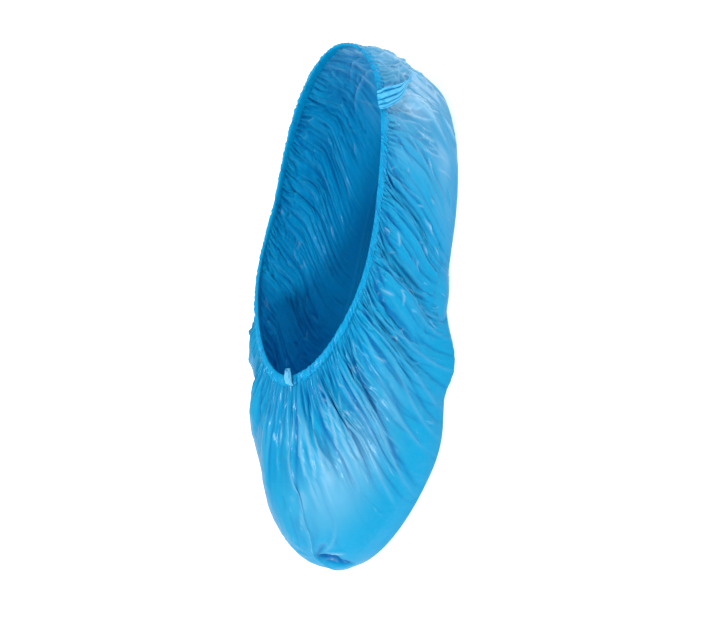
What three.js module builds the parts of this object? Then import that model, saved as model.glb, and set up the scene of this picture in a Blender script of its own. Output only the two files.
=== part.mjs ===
// A disposable overshoe for a left foot, in the form it takes when it is worn: a bag of thin blue
// film, its mouth gathered by an elastic in a turned-over hem, with a welded seam over the toe and
// another at the heel, each ending in a short loose tail at the mouth.
// Millimetres. X runs to the toe, Y to the outer side of the foot and Z up. The shoe's sole stands
// at z = 0, on the inside of the film. Angles go round the bag from its toe, + to the outer side.

import * as THREE from 'three';

// Film, hem and elastic. The hem's flap is fullest between two shares of its height.
const WALL = 1.2;
const GAP = 0.3;
const HEM_HEIGHT = 7;
const ELASTIC = { height: 3, thickness: 1 };
const CHANNEL = ELASTIC.thickness + 2 * GAP;
const FULL = { from: 0.25, to: 0.72 };
const FLAP_GAP = 0.6;
const RUFFLE = { out: 0.8, in: 0.6, rise: 0.7 };

// The film is a net: its columns run down along the folds, and its rows run round the bag, each
// at its share of the way from under the hem to the middle of the sole. Columns are spaced wider
// at the two ends of the mouth than at its sides, and a little unevenly, most so at the toe.
const COLUMNS = 112;
const ROWS = [0, 0.05, 0.11, 0.18, 0.26, 0.34, 0.43, 0.52, 0.6, 0.67, 0.72, 0.76, 0.82, 0.9, 1];
const SIDE_SPACING = 0.06;
const UNEVENNESS = { share: 0.3, wave: 2.1 };

// Loops of the bag, from its rim (at 0) to the middle of its sole (at 1). toe and heel are its ends
// along X; ball, waist and back are half widths; lean shifts both ends in Y. The last three loops lie
// flat under the sole.
const FLAT = { toeZ: -WALL, sideZ: -WALL, heelZ: -WALL };
const LOOPS = [
  { at: 0.00, toe: 43, heel: -156, ball: 47, waist: 42, back: 44, toeZ: 79, sideZ: 73, heelZ: 79, lean: 0 },
  { at: 0.16, toe: 82, heel: -157, ball: 54, waist: 45, back: 46, toeZ: 74, sideZ: 60, heelZ: 62, lean: -1 },
  { at: 0.34, toe: 115, heel: -156, ball: 58, waist: 46, back: 44, toeZ: 61, sideZ: 42, heelZ: 44, lean: -3 },
  { at: 0.52, toe: 143, heel: -154, ball: 66, waist: 45, back: 44, toeZ: 39, sideZ: 24, heelZ: 25, lean: -4 },
  { at: 0.66, toe: 152, heel: -150, ball: 70, waist: 43, back: 43, toeZ: 18, sideZ: 9, heelZ: 10, lean: -3 },
  { at: 0.76, toe: 149, heel: -145, ball: 67, waist: 39, back: 40, ...FLAT, lean: -3 },
  { at: 0.82, toe: 138, heel: -135, ball: 58, waist: 30, back: 32, ...FLAT, lean: -3 },
  { at: 1.00, toe: 100, heel: -105, ball: 0, waist: 0, back: 0, ...FLAT, lean: -2 },
];

// Where the three half widths hold along a loop, by the cosine of the angle
const STATIONS = { back: -0.75, waist: -0.15, ball: 0.55 };
const FULLNESS = { heel: 0.9, toe: 1.02 };
const CROWN = 1.2;

// The way the columns turn as they run down: they fan out from the toe seam, those of the side run
// slantwise to the heel, and those of the heel bend back to the toe lower down. early and late are
// turns in degrees, for a column that leaves the rim at the angle of rim.
const SWEEP = [
  { rim: -180, early: 0, late: 0 },
  { rim: -150, early: -3, late: 8 },
  { rim: -120, early: -4, late: 14 },
  { rim: -90, early: -6, late: 6 },
  { rim: -60, early: -12, late: 3 },
  { rim: -30, early: -16, late: 2 },
  { rim: -6, early: -9, late: 0 },
  { rim: 8, early: 2, late: 0 },
  { rim: 20, early: 16, late: 0 },
  { rim: 35, early: 15, late: -3 },
  { rim: 48, early: 8, late: 1 },
  { rim: 62, early: 8, late: 5 },
  { rim: 90, early: 3, late: 3 },
  { rim: 105, early: 0, late: -3 },
  { rim: 120, early: -3, late: -7 },
  { rim: 138, early: 13, late: -7 },
  { rim: 165, early: 6, late: -2 },
  { rim: 180, early: 0, late: 0 },
];
const EARLY_END = 0.36;
const LATE_END = 0.74;
const SOLE_EDGE = 0.76;
const EASE = 0.35;

// Main folds: the rim angle each leaves from, its height (+ a ridge, - a valley), its half width
// in degrees of rim, and how far down the bag it reaches.
const FOLDS = [
  { rim: 14, height: 2.2, width: 7, reach: 0.5 },
  { rim: 21, height: -2.4, width: 6, reach: 0.48 },
  { rim: 29, height: 2.6, width: 7, reach: 0.54 },
  { rim: 37, height: -2.8, width: 6, reach: 0.56 },
  { rim: 45, height: 2.8, width: 7, reach: 0.62 },
  { rim: 53, height: -3.2, width: 7, reach: 0.68 },
  { rim: 62, height: 3, width: 7, reach: 0.68 },
  { rim: 71, height: -3.4, width: 7, reach: 0.72 },
  { rim: 81, height: 3.2, width: 6, reach: 0.7 },
  { rim: 91, height: -3.4, width: 7, reach: 0.66 },
  { rim: 101, height: 3.2, width: 6, reach: 0.68 },
  { rim: 112, height: -3.4, width: 6, reach: 0.66 },
  { rim: 123, height: 3.2, width: 6, reach: 0.66 },
  { rim: 134, height: -2.6, width: 7, reach: 0.56 },
  { rim: 145, height: 2.8, width: 6, reach: 0.6 },
  { rim: 157, height: -2.6, width: 6, reach: 0.52 },
  { rim: 169, height: 2.6, width: 6, reach: 0.56 },
  { rim: 180, height: -2.2, width: 6, reach: 0.5 },
  { rim: 0, height: -2.2, width: 6, reach: 0.44 },
  { rim: -8, height: 2.2, width: 6, reach: 0.46 },
  { rim: -17, height: -2.4, width: 7, reach: 0.5 },
  { rim: -27, height: 2.8, width: 7, reach: 0.56 },
  { rim: -38, height: -2.8, width: 7, reach: 0.58 },
  { rim: -49, height: 3, width: 6, reach: 0.64 },
  { rim: -60, height: -3.2, width: 7, reach: 0.66 },
  { rim: -72, height: 3.2, width: 6, reach: 0.7 },
  { rim: -84, height: -3.2, width: 6, reach: 0.66 },
  { rim: -97, height: 3.2, width: 7, reach: 0.68 },
  { rim: -111, height: -3.2, width: 6, reach: 0.64 },
  { rim: -125, height: 3.2, width: 7, reach: 0.66 },
  { rim: -140, height: -2.8, width: 7, reach: 0.6 },
  { rim: -154, height: 2.6, width: 7, reach: 0.58 },
  { rim: -168, height: -2.4, width: 6, reach: 0.5 },
];

// Fine gathers between the folds: every other column is a ridge. Their strength and reach wander
// from one column to the next, in waves of so many radians a column, and they die away down the bag.
const GATHER = { height: 1.2, reach: 0.3 };
const WANDER = { strength: 0.3, strengthWave: 1.9, reach: 0.6, reachWave: 2.7, ruffleWave: 2.3 };

// A fold keeps its whole height for a share of its reach. The elastic holds folds down to a share
// of their height at the hem, and they are free of it by a share of the way down. Folds are pulled
// flat towards the sole, and loose places end where the film turns under it.
const FOLD_FADE = 0.45;
const HELD_BY_ELASTIC = 0.4;
const FREE_OF_HEM = 0.1;
const PULLED_FLAT = { start: 0.62, end: 0.76 };
const TURNED_UNDER = { start: 0.7, end: 0.82 };

// Loose places in the film: where each is, its height (- a dent), and how far it spreads to each
// side, in degrees round the bag and in its share of the way down.
const PUFFS = [
  { place: 'slack of the heel', angle: 128, at: 0.55, height: 4, around: 36, along: 0.4 },
  { place: 'slack of the heel, inner side', angle: -140, at: 0.5, height: 4, around: 44, along: 0.44 },
  { place: 'blister over the arch', angle: 98, at: 0.64, height: 7, around: 10, along: 0.14 },
  { place: 'puff at the edge of the sole', angle: 84, at: 0.71, height: 9, around: 14, along: 0.12 },
  { place: 'crease under the puff', angle: 75, at: 0.7, height: -3, around: 10, along: 0.14 },
  { place: 'puff on the inner edge', angle: -74, at: 0.68, height: 5, around: 18, along: 0.16 },
  { place: 'tuck at the end of the toe', angle: 11, at: 0.6, height: -5, around: 16, along: 0.09 },
  { place: 'lip under the tuck', angle: 13, at: 0.67, height: 2, around: 20, along: 0.08 },
];

// Weld seams: a flat bead along one column, from just under the hem to where the film turns under.
const SEAM = { halfWidth: 1.3, thickness: 0.8, gap: 0.45, firstRow: 0.3 };
const TOE_SEAM = { rim: 8, lastRow: 8 };
const HEEL_SEAM = { rim: 138, lastRow: 10 };

// Loose tails of the seams. down is the distance below the rim, out the height over the film and
// turn the angle from the seam's rim angle.
const TOE_TAIL = [
  { down: 10, out: 2.1, turn: 1, halfWidth: 1.6 },
  { down: 7, out: 5.6, turn: 0.5, halfWidth: 2.2 },
  { down: 4, out: 6, turn: 0, halfWidth: 2.6 },
  { down: 1, out: 6, turn: -0.5, halfWidth: 2.4 },
  { down: -1.5, out: 5.4, turn: -1.5, halfWidth: 2.2 },
  { down: -3.2, out: 4, turn: -3, halfWidth: 1.8 },
  { down: -3.6, out: 2.2, turn: -4.5, halfWidth: 1.2 },
];
const HEEL_TAIL = [
  { down: 36, out: 4.4, turn: 16, halfWidth: 1.6 },
  { down: 33, out: 4.8, turn: 15, halfWidth: 2.4 },
  { down: 30.5, out: 4.7, turn: 13.3, halfWidth: 1.5 },
  { down: 25, out: 4.9, turn: 10, halfWidth: 2.6 },
  { down: 19, out: 5, turn: 6, halfWidth: 4 },
  { down: 13, out: 5.1, turn: 2.5, halfWidth: 5.2 },
  { down: 8, out: 5.4, turn: 0, halfWidth: 5.9 },
  { down: 4, out: 5.9, turn: -2, halfWidth: 6.2 },
  { down: 1, out: 5.9, turn: -3.5, halfWidth: 6.2 },
  { down: -1.6, out: 5.6, turn: -5, halfWidth: 6 },
];
const TAIL_THICKNESS = 0.9;
const TOE_TAIL_PLEATS = { count: 1, height: 1 };
const HEEL_TAIL_PLEATS = { count: 3, height: 1.6 };

// How far apart two places are taken to measure a slope, in radians and in shares of the way down
const NEAR = 0.01;

const COLOURS = { film: 0x1aa0da, elastic: 0xd8ecf5, weld: 0x55c4ee };

// ---- Reading the tables ----

const DEGREE = Math.PI / 180;

function smooth(value, start, end) {
  return THREE.MathUtils.smoothstep(value, start, end);
}

// A nearly even rise from 0 to 1, a little softened at both ends
function eased(value, start, end) {
  const even = THREE.MathUtils.clamp((value - start) / (end - start), 0, 1);
  return even + (smooth(value, start, end) - even) * EASE;
}

// A monotone cubic through points: it never overshoots a row of the table
function curveThrough(xs, ys) {
  const rises = xs.slice(1).map((x, i) => (ys[i + 1] - ys[i]) / (x - xs[i]));
  const slopes = xs.map((_, i) => {
    const before = rises[i - 1] ?? rises[i];
    const after = rises[i] ?? rises[i - 1];
    return before * after <= 0 ? 0 : (2 * before * after) / (before + after);
  });
  return (x) => {
    const found = xs.findIndex((next) => next > x);
    const i = Math.max(0, (found < 0 ? xs.length - 1 : found) - 1);
    const span = xs[i + 1] - xs[i];
    const u = (x - xs[i]) / span;
    const start = (1 + 2 * u) * (1 - u) ** 2 * ys[i] + u * (1 - u) ** 2 * span * slopes[i];
    return start + u ** 2 * (3 - 2 * u) * ys[i + 1] + u ** 2 * (u - 1) * span * slopes[i + 1];
  };
}

function tableCurves(table, key) {
  const names = Object.keys(table[0]).filter((name) => name !== key);
  const xs = table.map((row) => row[key]);
  return Object.fromEntries(names.map((name) => [name, curveThrough(xs, table.map((row) => row[name]))]));
}

const loopCurves = tableCurves(LOOPS, 'at');
const sweepCurves = tableCurves(SWEEP, 'rim');

// ---- The smooth form of the bag ----

function halfWidth(at, cosine) {
  const back = loopCurves.back(at);
  const waist = loopCurves.waist(at);
  const ball = loopCurves.ball(at);
  const toWaist = smooth(cosine, STATIONS.back, STATIONS.waist);
  const toBall = smooth(cosine, STATIONS.waist, STATIONS.ball);
  return back + (waist - back) * toWaist + (ball - waist) * toBall;
}

function envelope(angle, at) {
  const cosine = Math.cos(angle);
  const sine = Math.sin(angle);
  const toe = loopCurves.toe(at);
  const heel = loopCurves.heel(at);
  const sideZ = loopCurves.sideZ(at);
  const fullness = FULLNESS.heel + (FULLNESS.toe - FULLNESS.heel) * smooth(cosine, -1, 1);
  const side = Math.sign(sine) * Math.abs(sine) ** fullness;
  const toeward = Math.max(cosine, 0) ** CROWN;
  const heelward = Math.max(-cosine, 0) ** CROWN;
  return new THREE.Vector3(
    (toe + heel) / 2 + ((toe - heel) / 2) * cosine,
    halfWidth(at, cosine) * side + loopCurves.lean(at) * cosine ** 2,
    sideZ + (loopCurves.toeZ(at) - sideZ) * toeward + (loopCurves.heelZ(at) - sideZ) * heelward,
  );
}

// The directions round and down the bag, and out of it, at one place. Under the sole, out is down.
function directions(angle, at) {
  const below = Math.max(at, NEAR);
  const round = envelope(angle + NEAR, at).sub(envelope(angle - NEAR, at)).normalize();
  const down = envelope(angle, below + NEAR).sub(envelope(angle, below - NEAR)).normalize();
  const out = new THREE.Vector3(0, 0, -1);
  if (at <= SOLE_EDGE) {
    out.crossVectors(down, round).normalize();
  }
  return { round, down, out };
}

// The share of the way down the bag that one millimetre takes, just under the rim
function sharePerMillimetre(angle) {
  return NEAR / envelope(angle, NEAR).distanceTo(envelope(angle, 0));
}

// The share of the way down that the hem takes
function hemShare(angle) {
  return HEM_HEIGHT * sharePerMillimetre(angle);
}

// The place on the bag a distance below its rim, or above it where the distance is negative
function belowRim(angle, distance, out) {
  const at = Math.max(distance, 0) * sharePerMillimetre(angle);
  const way = directions(angle, at);
  const place = envelope(angle, at).addScaledVector(way.down, Math.min(distance, 0));
  return place.addScaledVector(way.out, out);
}

// ---- Columns, folds and gathers ----

// Columns are counted from the toe, + to the outer side
function rimDegrees(column) {
  const turn = (2 * Math.PI * column) / COLUMNS;
  const step = (2 * Math.PI) / COLUMNS;
  const uneven = UNEVENNESS.share * step * Math.sin(UNEVENNESS.wave * column) * Math.cos(turn / 2) ** 2;
  return (turn + SIDE_SPACING * Math.sin(2 * turn) + uneven) / DEGREE;
}

function columnAngle(column, at) {
  const rim = rimDegrees(column);
  const early = sweepCurves.early(rim) * eased(at, 0, EARLY_END);
  const late = sweepCurves.late(rim) * eased(at, EARLY_END, LATE_END);
  const kept = 1 - smooth(at, SOLE_EDGE, 1);
  return (rim + (early + late) * kept) * DEGREE;
}

function turnBetween(from, to) {
  return ((((to - from) % 360) + 540) % 360) - 180;
}

function bell(distance, width) {
  return Math.abs(distance) < width ? (1 + Math.cos((Math.PI * distance) / width)) / 2 : 0;
}

function foldHeight(rim, at) {
  let height = 0;
  for (const fold of FOLDS) {
    const kept = 1 - smooth(at, fold.reach * FOLD_FADE, fold.reach);
    height += fold.height * kept * bell(turnBetween(fold.rim, rim), fold.width);
  }
  return height;
}

function gatherHeight(column, at) {
  const ridge = column % 2 === 0 ? 1 : -1;
  const strength = 1 + WANDER.strength * Math.sin(WANDER.strengthWave * column);
  const reach = GATHER.reach * (1 + WANDER.reach * Math.sin(WANDER.reachWave * column));
  return ridge * strength * GATHER.height * Math.exp(-((at / reach) ** 2));
}

function puffHeight(degrees, at) {
  let height = 0;
  for (const puff of PUFFS) {
    const around = bell(turnBetween(puff.angle, degrees), puff.around);
    height += puff.height * around * bell(at - puff.at, puff.along);
  }
  return height;
}

function relief(column, at) {
  const held = HELD_BY_ELASTIC + (1 - HELD_BY_ELASTIC) * smooth(at, 0, FREE_OF_HEM);
  const lift = (foldHeight(rimDegrees(column), at) + gatherHeight(column, at)) * held;
  const slack = puffHeight(columnAngle(column, at) / DEGREE, at);
  const flattened = smooth(at, PULLED_FLAT.start, PULLED_FLAT.end);
  const turned = smooth(at, TURNED_UNDER.start, TURNED_UNDER.end);
  return lift * (1 - flattened) + slack * (1 - turned);
}

// ---- Closed bodies from rows of points ----

// Two triangles from four corners, cut along the shorter diagonal
function splitQuad(points, a, b, c, d) {
  const alongAC = points[a].distanceTo(points[c]) <= points[b].distanceTo(points[d]);
  return alongAC ? [[a, b, c], [a, c, d]] : [[a, b, d], [b, c, d]];
}

function bodyFrom(rows, { looped, ends }) {
  const points = [];
  const faces = [];
  const numbers = rows.map((row) => row.map((point) => points.push(point) - 1));
  const count = rows[0].length;
  if (ends === 'zipped') {
    for (const row of [numbers[0], numbers.at(-1)]) {
      row.forEach((_, i) => {
        row[i] = row[Math.min(i, count - i)];
      });
    }
  }
  const strips = looped ? rows.length : rows.length - 1;
  for (let r = 0; r < strips; r += 1) {
    const upper = numbers[r];
    const lower = numbers[(r + 1) % rows.length];
    for (let i = 0; i < count; i += 1) {
      const j = (i + 1) % count;
      faces.push(...splitQuad(points, upper[i], lower[i], lower[j], upper[j]));
    }
  }
  if (ends === 'flat') {
    const first = numbers[0];
    const last = numbers.at(-1);
    for (let i = 0; i < count / 2 - 1; i += 1) {
      const facing = count - 1 - i;
      faces.push([first[i], first[i + 1], first[facing - 1]], [first[i], first[facing - 1], first[facing]]);
      faces.push([last[i], last[facing - 1], last[i + 1]], [last[i], last[facing], last[facing - 1]]);
    }
  }
  const real = faces.filter(([a, b, c]) => a !== b && b !== c && c !== a);
  const geometry = new THREE.BufferGeometry().setFromPoints(points);
  geometry.setIndex(real.flat());
  geometry.computeVertexNormals();
  return geometry;
}

function piece(name, geometry, colour, roughness) {
  const material = new THREE.MeshStandardMaterial({ color: colour, roughness, metalness: 0 });
  const mesh = new THREE.Mesh(geometry, material);
  mesh.name = name;
  return mesh;
}

const columns = Array.from({ length: COLUMNS }, (_, i) => (i <= COLUMNS / 2 ? i : i - COLUMNS));

// ---- Film body ----

// In the hem a column keeps the angle that it has at the hem's lower edge
function hemAngle(column) {
  return columnAngle(column, hemShare(rimDegrees(column) * DEGREE));
}

function filmPoint(column, share, depth) {
  const hem = hemShare(hemAngle(column));
  const at = hem + (1 - hem) * share;
  const angle = columnAngle(column, at);
  const point = envelope(angle, at).addScaledVector(directions(angle, at).out, relief(column, at) - depth);
  point.z = Math.max(point.z, depth - WALL);
  return point;
}

function filmRow(share, depth) {
  return columns.map((column) => filmPoint(column, share, depth));
}

// A row of the elastic's channel. The flap over the elastic swells at the ridges of the gathers,
// the wall inside it dips between them, and the fold at the top rises and falls with them.
function hemRow(down, out, { swells, rises }) {
  return columns.map((column) => {
    const ridge = column % 2 === 0;
    const strength = 1 - WANDER.strength * Math.cos(WANDER.ruffleWave * column);
    const swollen = ridge && swells ? RUFFLE.out * strength : 0;
    const dipped = ridge || swells ? 0 : RUFFLE.in;
    const risen = ridge && rises ? RUFFLE.rise * strength : 0;
    return belowRim(hemAngle(column), down - risen, out + swollen - dipped);
  });
}

function flapEdgeRow(out) {
  return columns.map((column) => {
    const angle = hemAngle(column);
    return belowRim(angle, HEM_HEIGHT, relief(column, hemShare(angle)) + out);
  });
}

// The film's skin runs up the inside of the bag, over the fold of the hem, down the flap to its edge,
// back up in the channel that holds the elastic, and down the outside of the bag.
function filmBody() {
  const upper = HEM_HEIGHT * FULL.from;
  const lower = HEM_HEIGHT * FULL.to;
  const inside = [...ROWS].reverse().map((share) => filmRow(share, WALL));
  const outside = ROWS.map((share) => filmRow(share, 0));
  const wall = { swells: false, rises: false };
  const flap = { swells: true, rises: false };
  const hem = [
    hemRow(lower, -WALL, wall),
    hemRow(upper, -WALL, wall),
    hemRow(0, CHANNEL / 2, { swells: true, rises: true }),
    hemRow(upper, CHANNEL + WALL, flap),
    hemRow(lower, CHANNEL + WALL, flap),
    flapEdgeRow(WALL + FLAP_GAP),
    flapEdgeRow(FLAP_GAP),
    hemRow(lower, CHANNEL, flap),
    hemRow(WALL, CHANNEL, flap),
    hemRow(WALL, 0, wall),
    hemRow(lower, 0, wall),
  ];
  return bodyFrom([...inside, ...hem, ...outside], { looped: false, ends: 'zipped' });
}

// ---- Elastic: a flat band, a closed ring in the hem's channel ----

function elasticRow(down, out) {
  return columns.map((column) => belowRim(hemAngle(column), down, out));
}

function elasticBand() {
  const top = WALL + GAP;
  const bottom = top + ELASTIC.height;
  const rows = [
    elasticRow(top, GAP),
    elasticRow(top, GAP + ELASTIC.thickness),
    elasticRow(bottom, GAP + ELASTIC.thickness),
    elasticRow(bottom, GAP),
  ];
  return bodyFrom(rows, { looped: true, ends: 'none' });
}

// ---- Weld seams, on the outside of the film ----

function nearestColumn(rim) {
  return columns.reduce((best, column) => {
    const closer = Math.abs(rimDegrees(column) - rim) < Math.abs(rimDegrees(best) - rim);
    return closer ? column : best;
  });
}

// A point on the film's outer facets, a distance to the side of a column
function besideColumn(column, row, sideways) {
  const whole = Math.floor(row);
  const between = row - whole;
  const point = (c) => {
    const upper = filmPoint(c, ROWS[whole], 0);
    return between > 0 ? upper.lerp(filmPoint(c, ROWS[whole + 1], 0), between) : upper;
  };
  const start = point(column);
  const next = point(column + (sideways < 0 ? -1 : 1));
  return start.clone().lerp(next, Math.abs(sideways) / start.distanceTo(next));
}

function seamSection(column, row) {
  const across = [-SEAM.halfWidth, 0, SEAM.halfWidth].map((sideways) => besideColumn(column, row, sideways));
  const share = ROWS[Math.round(row)];
  const { out } = directions(columnAngle(column, share), share);
  const under = across.map((point) => point.clone().addScaledVector(out, SEAM.gap));
  const over = across.map((point) => point.clone().addScaledVector(out, SEAM.gap + SEAM.thickness));
  return [...under, ...over.reverse()];
}

function weldSeam({ rim, lastRow }) {
  const column = nearestColumn(rim);
  const rows = [];
  for (let row = lastRow; row >= 1; row -= 1) {
    rows.push(row);
  }
  rows.push(SEAM.firstRow);
  return bodyFrom(rows.map((row) => seamSection(column, row)), { looped: false, ends: 'flat' });
}

// ---- Tails of the seams: melted film, pleated along their length ----

function tailSection(rim, station, pleats) {
  const angle = (rim + station.turn) * DEGREE;
  const { round, out } = directions(angle, 0);
  const middle = belowRim(angle, station.down, station.out);
  const edges = 4 * pleats.count;
  const under = [];
  const over = [];
  for (let i = 0; i <= edges; i += 1) {
    const across = (2 * i) / edges - 1;
    const pleat = (pleats.height * (1 - Math.cos((2 * Math.PI * i * pleats.count) / edges))) / 2;
    const point = middle.clone().addScaledVector(round, across * station.halfWidth);
    under.push(point.clone().addScaledVector(out, pleat));
    over.push(point.clone().addScaledVector(out, pleat + TAIL_THICKNESS));
  }
  return [...under, ...over.reverse()];
}

function seamTail(rim, stations, pleats) {
  const rows = stations.map((station) => tailSection(rim, station, pleats));
  return bodyFrom(rows, { looped: false, ends: 'flat' });
}

// ---- The overshoe ----

const overshoe = new THREE.Group();
overshoe.add(piece('film_body', filmBody(), COLOURS.film, 0.35));
overshoe.add(piece('elastic_band', elasticBand(), COLOURS.elastic, 0.7));
overshoe.add(piece('toe_seam', weldSeam(TOE_SEAM), COLOURS.weld, 0.3));
overshoe.add(piece('heel_seam', weldSeam(HEEL_SEAM), COLOURS.weld, 0.3));
overshoe.add(piece('toe_tail', seamTail(TOE_SEAM.rim, TOE_TAIL, TOE_TAIL_PLEATS), COLOURS.weld, 0.3));
overshoe.add(piece('heel_tail', seamTail(HEEL_SEAM.rim, HEEL_TAIL, HEEL_TAIL_PLEATS), COLOURS.weld, 0.3));

export default overshoe;
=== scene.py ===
import math

import bpy
import numpy as np
from mathutils import Matrix, Vector


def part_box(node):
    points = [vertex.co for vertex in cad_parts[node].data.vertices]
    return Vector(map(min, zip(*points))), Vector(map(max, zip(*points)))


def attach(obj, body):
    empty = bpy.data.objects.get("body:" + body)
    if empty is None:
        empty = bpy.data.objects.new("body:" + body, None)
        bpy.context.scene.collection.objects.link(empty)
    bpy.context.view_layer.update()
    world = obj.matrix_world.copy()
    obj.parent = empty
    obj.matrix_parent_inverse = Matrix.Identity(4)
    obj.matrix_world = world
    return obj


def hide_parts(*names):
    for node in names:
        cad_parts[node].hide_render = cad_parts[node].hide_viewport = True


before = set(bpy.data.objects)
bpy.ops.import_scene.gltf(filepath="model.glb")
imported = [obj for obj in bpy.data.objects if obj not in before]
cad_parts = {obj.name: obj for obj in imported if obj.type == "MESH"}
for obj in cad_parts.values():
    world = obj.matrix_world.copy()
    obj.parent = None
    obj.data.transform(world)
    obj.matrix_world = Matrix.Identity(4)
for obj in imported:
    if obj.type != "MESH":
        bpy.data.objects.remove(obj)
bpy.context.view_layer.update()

# A disposable overshoe of thin blue film, in the form that it takes on a left foot. Sizes are in
# millimetres, as on the cutting table, and become metres when a piece is made. X runs to the toe,
# Y to the outer side of the foot and Z up. Angles go round the bag from its toe, + to the outer
# side. at is the way down the bag, from its rim at 0 to the middle of its sole at 1.

MM = 0.001
DEGREE = math.pi / 180

# ---- The form that the shoe gives the bag ----

SOLE_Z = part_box("film_body")[0].z / MM
HEM_HEIGHT = 7.0
LOOP_COLUMNS = ("at", "toe", "heel", "ball", "waist", "back", "toe_z", "side_z", "heel_z", "lean")
LOOPS = (
    (0.00, 43, -156, 47, 42, 44, 79, 73, 79, 0),
    (0.16, 82, -157, 54, 45, 46, 74, 60, 62, -1),
    (0.34, 115, -156, 58, 46, 44, 61, 42, 44, -3),
    (0.52, 143, -154, 66, 45, 44, 39, 24, 25, -4),
    (0.66, 152, -150, 70, 43, 43, 18, 9, 10, -3),
    (0.76, 149, -145, 67, 39, 40, SOLE_Z, SOLE_Z, SOLE_Z, -3),
    (0.82, 138, -135, 58, 30, 32, SOLE_Z, SOLE_Z, SOLE_Z, -3),
    (1.00, 100, -105, 0, 0, 0, SOLE_Z, SOLE_Z, SOLE_Z, -2),
)
BACK_STATION, WAIST_STATION, BALL_STATION = -0.75, -0.15, 0.55
FULLNESS_HEEL, FULLNESS_TOE = 0.9, 1.02
CROWN = 1.2

# How folds turn as they run down: degrees early and late on the way, by the rim angle they leave
SWEEP_COLUMNS = ("rim", "early", "late")
SWEEP = (
    (-180, 0, 0), (-150, -3, 8), (-120, -4, 14), (-90, -6, 6), (-60, -12, 3), (-30, -16, 2),
    (-6, -9, 0), (8, 2, 0), (20, 16, 0), (35, 15, -3), (48, 8, 1), (62, 8, 5), (90, 3, 3),
    (105, 0, -3), (120, -3, -7), (138, 13, -7), (165, 6, -2), (180, 0, 0),
)
EARLY_END, LATE_END, SOLE_EDGE = 0.36, 0.74, 0.76
SOLE_ROUNDING = 0.02
EASE = 0.35
# A small step round or down the bag, in radians or share, for working out a direction
NEAR = 0.01

# Main folds: rim angle, height (+ a ridge, - a valley), half width in degrees, and reach down
FOLDS = (
    (14, 2.2, 7, 0.5), (21, -2.4, 6, 0.48), (29, 2.6, 7, 0.54), (37, -2.8, 6, 0.56),
    (45, 2.8, 7, 0.62), (53, -3.2, 7, 0.68), (62, 3, 7, 0.68), (71, -3.4, 7, 0.72),
    (81, 3.2, 6, 0.7), (91, -3.4, 7, 0.66), (101, 3.2, 6, 0.68), (112, -3.4, 6, 0.66),
    (123, 3.2, 6, 0.66), (134, -2.6, 7, 0.56), (145, 2.8, 6, 0.6), (157, -2.6, 6, 0.52),
    (169, 2.6, 6, 0.56), (180, -2.2, 6, 0.5), (0, -2.2, 6, 0.44), (-8, 2.2, 6, 0.46),
    (-17, -2.4, 7, 0.5), (-27, 2.8, 7, 0.56), (-38, -2.8, 7, 0.58), (-49, 3, 6, 0.64),
    (-60, -3.2, 7, 0.66), (-72, 3.2, 6, 0.7), (-84, -3.2, 6, 0.66), (-97, 3.2, 7, 0.68),
    (-111, -3.2, 6, 0.64), (-125, 3.2, 7, 0.66), (-140, -2.8, 7, 0.6), (-154, 2.6, 7, 0.58),
    (-168, -2.4, 6, 0.5),
)
FOLD_FADE = 0.45
MAIN_FOLDS_END = (0.62, SOLE_EDGE)

# Loose places: angle, at, height (- a dent), spread round in degrees and along in share
PUFFS = (
    (128, 0.55, 4, 36, 0.4), (-140, 0.5, 4, 44, 0.44), (98, 0.64, 7, 10, 0.14),
    (84, 0.71, 9, 14, 0.12), (75, 0.7, -3, 10, 0.14), (-74, 0.68, 5, 18, 0.16),
    (11, 0.6, -5, 16, 0.09), (13, 0.67, 2, 20, 0.08),
)
PUFFS_END = (0.7, 0.82)

# Where the weld seams leave the mouth, by rim angle
TOE_SEAM, HEEL_SEAM = 8, 138

# ---- Reading the tables ----


def curve_through(xs, ys):
    """A monotone cubic through points, which never overshoots a row of its table."""
    xs, ys = np.array(xs, float), np.array(ys, float)
    rises = np.diff(ys) / np.diff(xs)
    before, after = np.r_[rises[0], rises], np.r_[rises, rises[-1]]
    total = np.where(before * after > 0, before + after, 1)
    slopes = np.where(before * after > 0, 2 * before * after / total, 0)

    def value(x):
        i = np.clip(np.searchsorted(xs, x, side="right") - 1, 0, len(xs) - 2)
        span = xs[i + 1] - xs[i]
        u = (x - xs[i]) / span
        start = (1 + 2 * u) * (1 - u) ** 2 * ys[i] + u * (1 - u) ** 2 * span * slopes[i]
        return start + u**2 * (3 - 2 * u) * ys[i + 1] + u**2 * (u - 1) * span * slopes[i + 1]

    return value


def table_curves(columns, rows):
    """One curve for each named column, over the table's first column."""
    keys = [row[0] for row in rows]
    return {
        name: curve_through(keys, [row[i] for row in rows])
        for i, name in enumerate(columns)
        if i > 0
    }


loop_curves = table_curves(LOOP_COLUMNS, LOOPS)
sweep_curves = table_curves(SWEEP_COLUMNS, SWEEP)


def smooth(value, start, end):
    """A soft rise from 0 at start to 1 at end."""
    u = np.clip((value - start) / (end - start), 0, 1)
    return u * u * (3 - 2 * u)


def mix(a, b, share):
    """From a at a share of 0 to b at 1."""
    return a + (b - a) * share


def bell(distance, width):
    """1 in the middle, falling to 0 at a width away."""
    return np.where(np.abs(distance) < width, (1 + np.cos(np.pi * distance / width)) / 2, 0)


def turn_between(start, end):
    """The turn from one angle to another in degrees, the shorter way round."""
    return (end - start + 180) % 360 - 180


# ---- The smooth bag ----


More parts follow.
